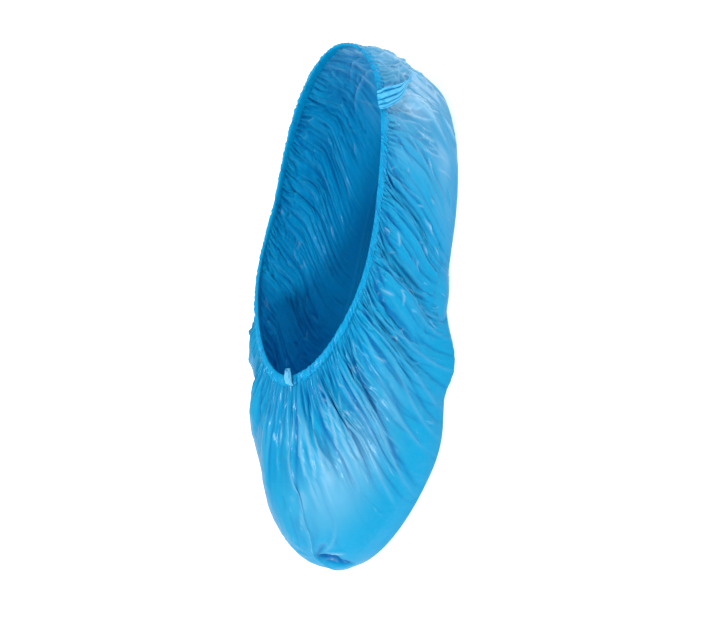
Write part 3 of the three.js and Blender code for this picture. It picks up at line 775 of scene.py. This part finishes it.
def net(name, points, shares=None, closed_down=False, closed_round=False):
    """A smooth-shaded net as a piece: X, Y and Z of its points in millimetres, by row and column.
    shares are named values at the points, which materials read."""
    faces = net_faces(*points.shape[1:], closed_down, closed_round)
    mesh = bpy.data.meshes.new(name)
    flat = points.reshape(3, -1).T * MM
    mesh.vertices.add(len(flat))
    mesh.vertices.foreach_set("co", flat.astype(np.float32).ravel())
    mesh.loops.add(faces.size)
    mesh.loops.foreach_set("vertex_index", faces.astype(np.int32).ravel())
    mesh.polygons.add(len(faces))
    mesh.polygons.foreach_set("loop_start", np.arange(0, faces.size, 4, dtype=np.int32))
    mesh.polygons.foreach_set("loop_total", np.full(len(faces), 4, np.int32))
    mesh.update(calc_edges=True)
    for share_name, values in (shares or {}).items():
        flat = np.ascontiguousarray(np.moveaxis(np.atleast_3d(values), 2, -1), dtype=np.float32)
        vector = flat.shape[-1] == 3
        layer = mesh.attributes.new(share_name, "FLOAT_VECTOR" if vector else "FLOAT", "POINT")
        layer.data.foreach_set("vector" if vector else "value", flat.ravel())
    mesh.validate()
    mesh.shade_smooth()
    return placed(name, mesh)


def give_wall(piece, thickness):
    """Gives a net its thickness, inward from its outer face."""
    wall = piece.modifiers.new("wall", "SOLIDIFY")
    wall.thickness = thickness * MM
    wall.offset = -1
    wall.use_even_offset = False
    return piece


def below_rim(degrees, down, out):
    """A place down millimetres below the rim, or above it, and out millimetres over the bag."""
    angle = np.asarray(degrees, float) * DEGREE
    at = np.maximum(down, 0) * share_per_mm(angle)
    place = bag(angle, at)
    drop = unit(bag(angle, at + 2 * NEAR) - place)
    return place + drop * np.minimum(down, 0) + bag_out(angle, at) * out


# The hem's section, all round from its free edge: how far each corner is below the rim and out
# from the bag, and how much the elastic ruffles it there
HEM_SECTION = (
    (5.8, 0.0, 0.1), (4.5, -0.15, 0.15), (3.0, -0.2, 0.15), (1.6, -0.15, 0.15), (0.6, 0.05, 0.2),
    (0.1, 0.5, 0.4), (0.0, 1.0, 0.5), (0.3, 1.45, 0.6), (1.2, 1.75, 0.65), (2.4, 1.85, 0.65),
    (3.6, 1.85, 0.65), (4.7, 1.75, 0.75), (5.6, 1.45, 0.8), (6.4, 0.9, 0.8), (6.8, 0.3, 0.7),
    (6.4, 0.0, 0.3),
)
HEM_OUTER_FACE = 1
RUFFLES_ROUND = 230


def hem_band():
    """The turned-over hem: a flat tube of film round the elastic, finely ruffled by it."""
    angle = fold_angle(RIMS[:-1], 0.0)
    hem_degrees = fold_angle(RIMS[:-1], HEM_HEIGHT * share_per_mm(angle)) / DEGREE
    ridge = 0.5 - 0.5 * np.cos(PHASE[:-1])
    rows, dark, pale = [], [], []
    for down, out, ruffle in HEM_SECTION:
        depth = np.full(len(hem_degrees), down / HEM_DROP)
        small = 0.7 - 1.6 * np.abs(uneven(ROUND[:-1], depth, RUFFLES_ROUND, 2, 21))
        fine = uneven(ROUND[:-1], depth, 2 * RUFFLES_ROUND, 4, 22)
        swell = 0.9 + 0.7 * uneven(ROUND[:-1], depth * 0, 70, 1, 23)
        tucks = (ridge - 0.5) * swell * smooth(down, 0, 5) * (out > 0.5)
        wave = 0.7 * small + 0.4 * fine + 1.1 * tucks
        lift = ruffle * wave
        if out > HEM_OUTER_FACE:
            lift = np.maximum(lift, 0.3 * lift - 0.12)
        rise = 0.6 * np.clip(small, 0, 1) * (down < 1)
        rows.append(below_rim(hem_degrees, down - rise, out + lift))
        # Darker in the ruffles' hollows and paler on their crests: painted shade and painted highlight
        dark.append(0.8 * smooth(-wave, 0.1, 0.9))
        pale.append(0.7 * smooth(wave, 0.3, 0.9))
    shares = {"pleat_and_shade": np.stack(dark), "taut_and_lit": np.stack(pale)}
    return net("hem_band", np.stack(rows, axis=1), shares, closed_down=True, closed_round=True)


# ---- Weld seams and their tails ----

SEAM_HALF_WIDTH, SEAM_LIFT = 0.42, 0.1
TOE_SEAM_END, HEEL_SEAM_END = 0.59, 0.76
SEAM_SECTION = 8
SEAM_HEIGHT, SEAM_SWAY = 0.14, 0.15


def weld_seam(name, column, end, seed):
    """A flat bead of melted film that stands along the joint of the two panels."""
    last = int(np.argmin(np.abs(AT[:, column] - end)))
    first = int(np.argmax(BELOW_HEM[:, column] > -0.015))
    path, out = POINTS[:, first:last, column], OUT[:, first:last, column]
    along = unit(np.gradient(path, axis=1))
    sideways = unit(np.cross(out, along, axis=0))
    run = np.linspace(0, 1, last - first)
    width = SEAM_HALF_WIDTH * (1 + 0.35 * uneven(run * 0, run, 1, 26, seed))
    sway = SEAM_SWAY * uneven(run * 0, run, 1, 18, seed + 1)
    lift = SEAM_LIFT + 0.08 * uneven(run * 0, run, 1, 30, seed + 2)
    taper = np.clip(np.minimum(run, 1 - run) * 12, 0.1, 1)
    rows = []
    for corner in range(SEAM_SECTION):
        turn = 2 * np.pi * corner / SEAM_SECTION
        rows.append(path + out * (lift + SEAM_HEIGHT * np.sin(turn) * taper)
                    + sideways * (sway + width * np.cos(turn) * taper))
    return net(name, np.stack(rows, axis=2), closed_round=True)


# The loose tails: a row for each station, with how far it is down from the rim and out over the
# film, its turn from the seam in degrees and its half width
TOE_TAIL = (
    (6.6, 2.6, 2.0, 1.2), (5.2, 4.0, 1.2, 1.9), (3.6, 4.2, 0.3, 2.4), (1, 4.2, -0.5, 2.6),
    (-1.5, 3.8, -1.5, 2.4), (-3.2, 3.0, -3, 2.2), (-4.2, 1.8, -4.5, 1.8),
)
HEEL_TAIL = (
    (36, 3.8, 16, 1.4), (33, 4.1, 15, 2.2), (30.5, 3.9, 13.3, 1.1), (25, 3.9, 10, 2.4),
    (19, 3.9, 6, 4.0), (13, 3.8, 2.5, 5.2), (8, 3.7, 0, 5.9), (4, 3.6, -2, 6.2),
    (1, 3.4, -3.5, 6.2), (-1.6, 2.6, -5, 5.9), (-3.0, 1.2, -5.5, 5.5),
)
TAIL_ROWS, TAIL_COLUMNS_ACROSS = 60, 65
TAIL_THICKNESS = 0.35
TAIL_RAGGED, TAIL_NOTCH = 0.6, 2.0


def seam_tail(name, rim, stations, pleats, depth, slant, seed):
    """A loose tail of melted film: a strip pleated along its length, with curled edges. slant is how
    far across the strip the pleats run on their way."""
    way = np.linspace(0, 1, len(stations))
    run = np.linspace(0, 1, TAIL_ROWS)
    columns = zip(*stations)
    down, out, turn, half = (curve_through(way, column)(run)[:, None] for column in columns)
    across = np.linspace(-1, 1, TAIL_COLUMNS_ACROSS)[None]
    middle = below_rim((rim + turn).ravel(), down.ravel(), out.ravel())[:, :, None]
    angle = ((rim + turn) * DEGREE).ravel()
    at = np.maximum(down.ravel(), 0) * share_per_mm(angle)
    around = bag_around(angle, at)[:, :, None]
    outward = bag_out(angle, at)[:, :, None]
    rng = np.random.default_rng(seed)
    wander = 0.5 * np.sin(run[:, None] * 5 + rng.uniform(0, 6)) * (1 - run[:, None])
    beside = (across + 1) / 2 + 0 * run[:, None]
    lengthwise = run[:, None] + 0 * across
    wander = wander + 0.45 * uneven(beside, lengthwise, pleats, 7, seed + 1)
    unequal = beside + 0.5 / pleats * uneven(beside, lengthwise * 0, pleats, 1, seed + 2)
    unequal = unequal + slant * (lengthwise - 0.5)
    finger = np.abs(np.sin(np.pi * pleats * unequal + wander)) ** 0.7
    crinkle = 0.3 * uneven(beside, lengthwise, 3 * pleats, 12, seed + 3)
    narrow = np.clip(half / half.max(), 0.25, 1)
    height = (depth * (finger - 0.7) + crinkle) * (0.3 + 0.7 * narrow) + 0.4 * across**4
    ends = rng.uniform(-1, 1, pleats + 1)
    ragged = np.interp(across.ravel(), np.linspace(-1, 1, pleats + 1), ends)[None]
    ragged = TAIL_RAGGED * (ragged + 0.4 * rng.uniform(-1, 1, TAIL_COLUMNS_ACROSS)[None])
    notch = TAIL_NOTCH * (1 - finger)
    points = middle + around * (across * half) + outward * height
    drop = unit(np.gradient(middle[:, :, 0], axis=1))[:, :, None]
    points = points + drop * (ragged - notch) * smooth(run[:, None], 0.75, 1)
    # Paler on the pleats' ridges and darker in their grooves: painted highlight and painted shade
    shares = {"taut_and_lit": smooth(finger + crinkle, 0.6, 1), "pleat_and_shade": 1 - smooth(finger, 0.15, 0.7)}
    return give_wall(net(name, points, shares), TAIL_THICKNESS)


# ---- Materials ----


def linear(hex_colour):
    """An sRGB hex colour as linear red, green, blue and alpha."""
    parts = [int(hex_colour[i:i + 2], 16) / 255 for i in (1, 3, 5)]
    return [p / 12.92 if p <= 0.04045 else ((p + 0.055) / 1.055) ** 2.4 for p in parts] + [1]


def add(nodes, kind, settings=None, links=None):
    """Adds a shader node with its settings, its values by socket, and its links by socket."""
    node = nodes.nodes.new("ShaderNode" + kind)
    for key, value in (settings or {}).items():
        if isinstance(key, int) or key in node.inputs:
            node.inputs[key].default_value = value
        else:
            setattr(node, key, value)
    for key, source in (links or {}).items():
        nodes.links.new(source, node.inputs[key])
    return node


def blend(nodes, share, start, end):
    """A colour between two, by a share. Each is a colour or another node's output."""
    values, links = {"data_type": "RGBA"}, {0: share}
    for socket, colour in ((6, start), (7, end)):
        (values if isinstance(colour, list) else links)[socket] = colour
    return add(nodes, "Mix", values, links).outputs[2]


def new_material(name):
    """An empty material and its nodes."""
    material = bpy.data.materials.new(name)
    material.use_nodes = True
    material.node_tree.nodes.clear()
    return material, material.node_tree


# The white of stressed film along creases, also used for painted glints, glow and sheen
CREASE_WHITE_AND_GLINT = "#BFE3F5"
# Sizes in the film and the rubber, in millimetres. The grain of real film is finer than this, and
# is drawn as coarse as it needs to be to show
FILM_GRAIN, FILM_CRACKLE, RUBBER_BLOOM = 1.11, 6.67, 2.5
# Lines that the film was drawn into: how wide, and how many of them one after another on the way down
DRAWN_LINE, DRAWN_LINES_DOWN = 2.2, 12
# Paler patches in the film: their size, detail, where in the noise they begin and end, and how pale
FILM_MOTTLES = ((22.2, 2.0, 0.35, 0.75, 0.1), (2.38, 3.0, 0.4, 0.7, 0.22))


def per_metre(size):
    """The scale of a pattern whose parts are a size across, in millimetres."""
    return 1 / (size * MM)


def blown_film(name, deep, pale, pleat_and_shade_colour, see_through=0.05, let_through=0.36):
    """Blown polyethylene film, glossy from the bubble's cool air: crisp small glints on a deep clear
    blue. Paler where it is drawn taut and with painted highlights, glow and sheen; darker where it
    lies double and with painted shade in its hollows; whitened along creases and painted glints."""
    material, nodes = new_material(name)
    coords = add(nodes, "TexCoord").outputs["Object"]
    lie = add(nodes, "Attribute", {"attribute_name": "lie"}).outputs["Vector"]
    taut_and_lit, pleat_and_shade, creased_and_glint = (
        add(nodes, "Attribute", {"attribute_name": share}).outputs["Fac"]
        for share in ("taut_and_lit", "pleat_and_shade", "creased_and_glint"))
    grain = add(nodes, "TexNoise", {"Scale": per_metre(FILM_GRAIN), "Detail": 2.0},
                {"Vector": coords})
    ridged = {"noise_type": "RIDGED_MULTIFRACTAL", "Detail": 3.0, "Roughness": 0.5}
    crackle = add(nodes, "TexNoise",
                  ridged | {"Scale": per_metre(FILM_CRACKLE), "Distortion": 0.6}, {"Vector": coords})
    drawn = add(nodes, "TexNoise", ridged | {"Scale": 1.0, "Distortion": 0.4},
                {"Vector": lie})
    folded = add(nodes, "Math", {"operation": "ADD"},
                 {0: crackle.outputs["Fac"], 1: drawn.outputs["Fac"]})
    paleness = taut_and_lit
    for size, detail, low, high, most in FILM_MOTTLES:
        mottle = add(nodes, "TexNoise", {"Scale": per_metre(size), "Detail": detail},
                     {"Vector": coords})
        patch = add(nodes, "MapRange", {1: low, 2: high, 3: 0.0, 4: most},
                    {0: mottle.outputs["Fac"]})
        paleness = add(nodes, "Math", {"operation": "ADD", "use_clamp": True},
                       {0: patch.outputs[0], 1: paleness}).outputs[0]
    # The shares bring painted highlights, shade, glints, glow and sheen as well as the film's own
    # tones
    whitening_and_glints = add(nodes, "Math", {"operation": "MULTIPLY", 1: 0.8}, {0: creased_and_glint}).outputs[0]
    tone = blend(nodes, paleness, linear(deep), linear(pale))
    double_and_shaded = blend(nodes, pleat_and_shade, tone, linear(pleat_and_shade_colour))
    colour = blend(nodes, whitening_and_glints, double_and_shaded, linear(CREASE_WHITE_AND_GLINT))
    small = add(nodes, "Bump", {"Strength": 0.05, "Distance": 0.4 * MM},
                {"Height": grain.outputs["Fac"]})
    slackness = add(nodes, "MapRange", {1: 0.0, 2: 1.0, 3: 0.4, 4: 0.08}, {0: taut_and_lit})
    bump = add(nodes, "Bump", {"Distance": 0.5 * MM},
               {"Height": folded.outputs[0], "Normal": small.outputs["Normal"],
                "Strength": slackness.outputs[0]}).outputs[0]
    film = add(nodes, "BsdfPrincipled",
               {"IOR": 1.51, "Roughness": 0.34, "Specular IOR Level": 0.18, "Coat Weight": 0.11,
                "Coat Roughness": 0.15, "Coat IOR": 1.5,
                "Specular Tint": linear("#8CD2FF")},
               {"Base Color": colour, "Normal": bump})
    through = add(nodes, "BsdfTranslucent", None, {"Color": colour, "Normal": bump})
    lit = add(nodes, "MixShader", {0: let_through},
              {1: film.outputs[0], 2: through.outputs[0]})
    clear = add(nodes, "BsdfTransparent", {"Color": linear(pale)})
    mixed = add(nodes, "MixShader", {0: see_through},
                {1: lit.outputs[0], 2: clear.outputs[0]})
    add(nodes, "OutputMaterial", None, {"Surface": mixed.outputs[0]})
    return material


def elastic_rubber(name):
    """A narrow band of natural rubber, cut and left matt: a warm white with a soft chalky bloom."""
    material, nodes = new_material(name)
    coords = add(nodes, "TexCoord").outputs["Object"]
    bloom = add(nodes, "TexNoise", {"Scale": per_metre(RUBBER_BLOOM), "Detail": 3.0},
                {"Vector": coords})
    tone = blend(nodes, bloom.outputs["Fac"], linear("#CFC7B4"), linear("#E6E0D2"))
    bump = add(nodes, "Bump", {"Strength": 0.3, "Distance": 0.3 * MM},
               {"Height": bloom.outputs["Fac"]})
    rubber = add(nodes, "BsdfPrincipled", {"IOR": 1.52, "Roughness": 0.7},
                 {"Base Color": tone, "Normal": bump.outputs[0]})
    add(nodes, "OutputMaterial", None, {"Surface": rubber.outputs[0]})
    return material


def give(piece, material):
    piece.data.materials.clear()
    piece.data.materials.append(material)
    return piece


# ---- Studio ----


def soft_light(name, way, size, power, away=2.3):
    """A round soft light that shines on the overshoe from a way, away metres off."""
    light = bpy.data.lights.new(name, "AREA")
    light.shape = "DISK"
    light.size = size
    light.energy = power
    lamp = placed(name, light)
    middle = Vector((0.0, 0.0, 0.03))
    lamp.location = middle + Vector(way).normalized() * away
    lamp.rotation_mode = "QUATERNION"
    lamp.rotation_quaternion = (middle - lamp.location).to_track_quat("-Z", "Y")
    return lamp


def studio():
    """A white board in a pale room, with three soft lights."""
    floor_mesh = bpy.data.meshes.new("floor")
    reach = 6.0
    z = SOLE_Z * MM - 0.0005
    floor_mesh.from_pydata(
        [(-reach, -reach, z), (reach, -reach, z), (reach, reach, z), (-reach, reach, z)],
        [], [(0, 1, 2, 3)])
    floor = placed("floor", floor_mesh)
    # Painted board, rolled matt: it takes a soft shadow and gives back no glare
    material, nodes = new_material("matt white board")
    board = add(nodes, "BsdfPrincipled",
                {"Base Color": linear("#DADCDE"), "Roughness": 0.9, "Specular IOR Level": 0.1,
                 "Emission Color": linear("#FFFFFF"), "Emission Strength": 0.5})
    add(nodes, "OutputMaterial", None, {"Surface": board.outputs[0]})
    give(floor, material)
    world = bpy.data.worlds.new("pale room")
    bpy.context.scene.world = world
    world.use_nodes = True
    room = world.node_tree.nodes["Background"].inputs
    room["Color"].default_value = (1, 1, 1, 1)
    room["Strength"].default_value = 0.66
    soft_light("key", (0.65, 0.545, 0.55), 0.42, 38)
    soft_light("overhead", (0.28, -0.4, 0.86), 0.3, 26)
    soft_light("heel", (-0.73, 0.33, 0.43), 0.7, 24)
    bpy.context.scene.view_settings.view_transform = "Standard"


def camera():
    """Looks down at the outer side and into the mouth through a long lens, with the heel on top."""
    towards = Vector((0.031, 0.709, 0.704)).normalized()
    right = Vector((-0.180, 0.697, -0.694)).normalized()
    up = towards.cross(right)
    middle = Vector((0.004, 0.0, 0.034))
    data = bpy.data.cameras.new("camera")
    data.sensor_width = 36
    data.lens = 205
    cam = placed("camera", data)
    turn = Matrix((right, up, towards)).transposed().to_4x4()
    cam.matrix_world = Matrix.Translation(middle + towards * 2.4) @ turn
    bpy.context.scene.camera = cam


# ---- The overshoe ----

ROUNDS = 300

camera()
studio()
POINTS, OUT, AT, ANGLE, VALLEYS, BELOW_HEM, HOLLOWS, WHITENED_AND_GLINTS, TUCKED_AND_SHADED = film_surface(ROUNDS)

# A painted highlight over the crown of the toe: where it is brightest, and how far it spreads
GLOW_ANGLE, GLOW_AT = 36, 0.4
GLOW_ROUND, GLOW_DOWN = 24, 0.11


def film_shares():
    """How pale the film is where it is drawn taut and where highlights are painted, how dark where it
    lies double and where shade is painted, how far it is whitened by creases and by painted glints,
    glow and sheen, and its own grid for the lines it is drawn into."""
    degrees = turn_between(0, ANGLE / DEGREE)
    # Paler over the toe cap, partly taut film and partly a painted highlight, over the heel and the
    # blister as painted backlight, and along the fold crests as a painted highlight
    toe_cap = bell(degrees - 32, 48) * smooth(AT, 0.12, 0.38) * (1 - smooth(AT, 0.42, 0.62))
    heel = bell(turn_between(165, degrees), 62)
    blister_glow = 0.4 * smooth(blisters(degrees, AT), 0, 1.5)
    crest_highlight = 0.35 * smooth(-HOLLOWS, 0.05, 0.5)
    taut_and_lit = np.clip(toe_cap + heel + blister_glow + crest_highlight, 0, 1)
    fading = 1 - 0.6 * smooth(AT, 0.1, 0.4)
    # Darker in the hollows across the folds and in the gather valleys: painted shade
    pleat_and_shade = 0.25 * smooth(HOLLOWS, 0.05, 0.6)
    pleat_and_shade = pleat_and_shade + 0.7 * fading * np.clip(VALLEYS / 1.8, 0, 1) ** 1.6
    # Darker just below the hem round the toe and vamp: painted shade under the hem band
    below_hem_shade = bell(degrees - 5, 80) * (1 - smooth(BELOW_HEM, 0.02, 0.15))
    # Also darker in the creases' dents, partly film lying double and partly painted shade
    pleat_and_shade = np.clip(pleat_and_shade * (1 - 0.5 * heel) + TUCKED_AND_SHADED + 0.25 * below_hem_shade, 0, 1)
    across = np.broadcast_to(RIM_RUN / DRAWN_LINE, AT.shape)
    lie = np.stack([across, AT * DRAWN_LINES_DOWN, np.zeros_like(AT)], axis=-1)
    # Pale streaks over the heel: a painted sheen
    heel_sheen_streaks = uneven(ROUND, AT, 110, 5, 51) + 0.5 * uneven(ROUND, AT, 230, 9, 52)
    heel_sheen_streaks = smooth(heel_sheen_streaks, 0.1, 1)
    # A painted highlight along the crests over the vamp, and a painted glow over the crown of the toe
    vamp = bell(degrees - 28, 50) * smooth(AT, 0.07, 0.2) * (1 - smooth(AT, 0.36, 0.5))
    round_off, down_off = (degrees - GLOW_ANGLE) / GLOW_ROUND, (AT - GLOW_AT) / GLOW_DOWN
    toe_glow = np.exp(-(round_off**2) - down_off**2)
    glow_and_glints = 0.2 * toe_glow + 0.28 * vamp * smooth(-HOLLOWS, 0, 0.5)
    # Whitened along creases and painted glints, with the painted heel sheen and glow added
    creased_and_glint = np.clip(WHITENED_AND_GLINTS * (0.8 + 0.6 * heel) + heel * (0.2 + 0.7 * heel_sheen_streaks) + glow_and_glints, 0, 1)
    return {"taut_and_lit": taut_and_lit, "pleat_and_shade": pleat_and_shade, "creased_and_glint": creased_and_glint, "lie": lie}


def film_panel(name, first, last):
    """The stretch of the film from one column to another, down to the sole."""
    shares = {share: values[:, first:last] for share, values in SHARES.items()}
    return give_wall(net(name, POINTS[:, :, first:last], shares), FILM_THICKNESS)


def film_sole():
    """The flat film under the foot, coarser than the sides."""
    shares = np.linspace(0, 1, SOLE_ROWS + 1)[1:]
    rim = np.broadcast_to(RIMS, (SOLE_ROWS, COLUMNS + 1))
    at = FILM_END + (1 - FILM_END) * shares[:, None]
    inside = bag(fold_angle(rim, at), at)
    panel = net("film_sole", np.concatenate([POINTS[:, -1:], inside], axis=1))
    panel.data.shade_flat()
    return give_wall(panel, FILM_THICKNESS)


SHARES = film_shares()

# One blown film throughout. The bag is glossy and a little see-through. The hem lies double round
# the elastic, so it is deeper and lets less light through. The welds are film melted together,
# clearer, and paler, partly as a painted highlight along the bead. The tails are folded film, with
# painted highlights on the ridges of their folds and painted shade in the grooves
film = blown_film("blown polyethylene film", "#00A5D4", "#34A9D2", "#006EB4")
hem_film = blown_film("hemmed polyethylene film", "#008CC0", "#1096C8", "#0060A4", 0.02, 0.12)
weld_film_and_highlight = blown_film("melted polyethylene edge with painted highlight", "#58C0E6", "#8CD0EC", "#0A7CC0", 0.1, 0.45)
toe_film = blown_film("folded polyethylene tail", "#34A8D6", "#72C4E6", "#0068A8", 0.06, 0.3)
tail_film = blown_film("pleated polyethylene tail", "#2CB0E0", "#5CC8EE", "#0072BC", 0.04, 0.35)

outer = film_panel("film_outer", 0, OUTER_COLUMNS + 1)
inner = film_panel("film_inner", OUTER_COLUMNS, None)
sole = film_sole()
for panel in (outer, inner, sole):
    give(panel, film)
hem = give(hem_band(), hem_film)
toe_weld = give(weld_seam("toe_weld", 0, TOE_SEAM_END, 3), weld_film_and_highlight)
heel_weld = give(weld_seam("heel_weld", OUTER_COLUMNS, HEEL_SEAM_END, 6), weld_film_and_highlight)
toe_end = give(seam_tail("toe_end", TOE_SEAM, TOE_TAIL, 2, 1.3, 0.6, 8), toe_film)
heel_end = give(seam_tail("heel_end", HEEL_SEAM, HEEL_TAIL, 4, 2.2, 0, 9), tail_film)
give(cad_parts["elastic_band"], elastic_rubber("natural rubber elastic"))

for piece in (outer, inner, sole, hem):
    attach(piece, "root")
for piece in (toe_weld, heel_weld, toe_end, heel_end):
    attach(piece, "root")
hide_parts("film_body")
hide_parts("toe_seam")
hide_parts("heel_seam")
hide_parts("toe_tail")
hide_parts("heel_tail")
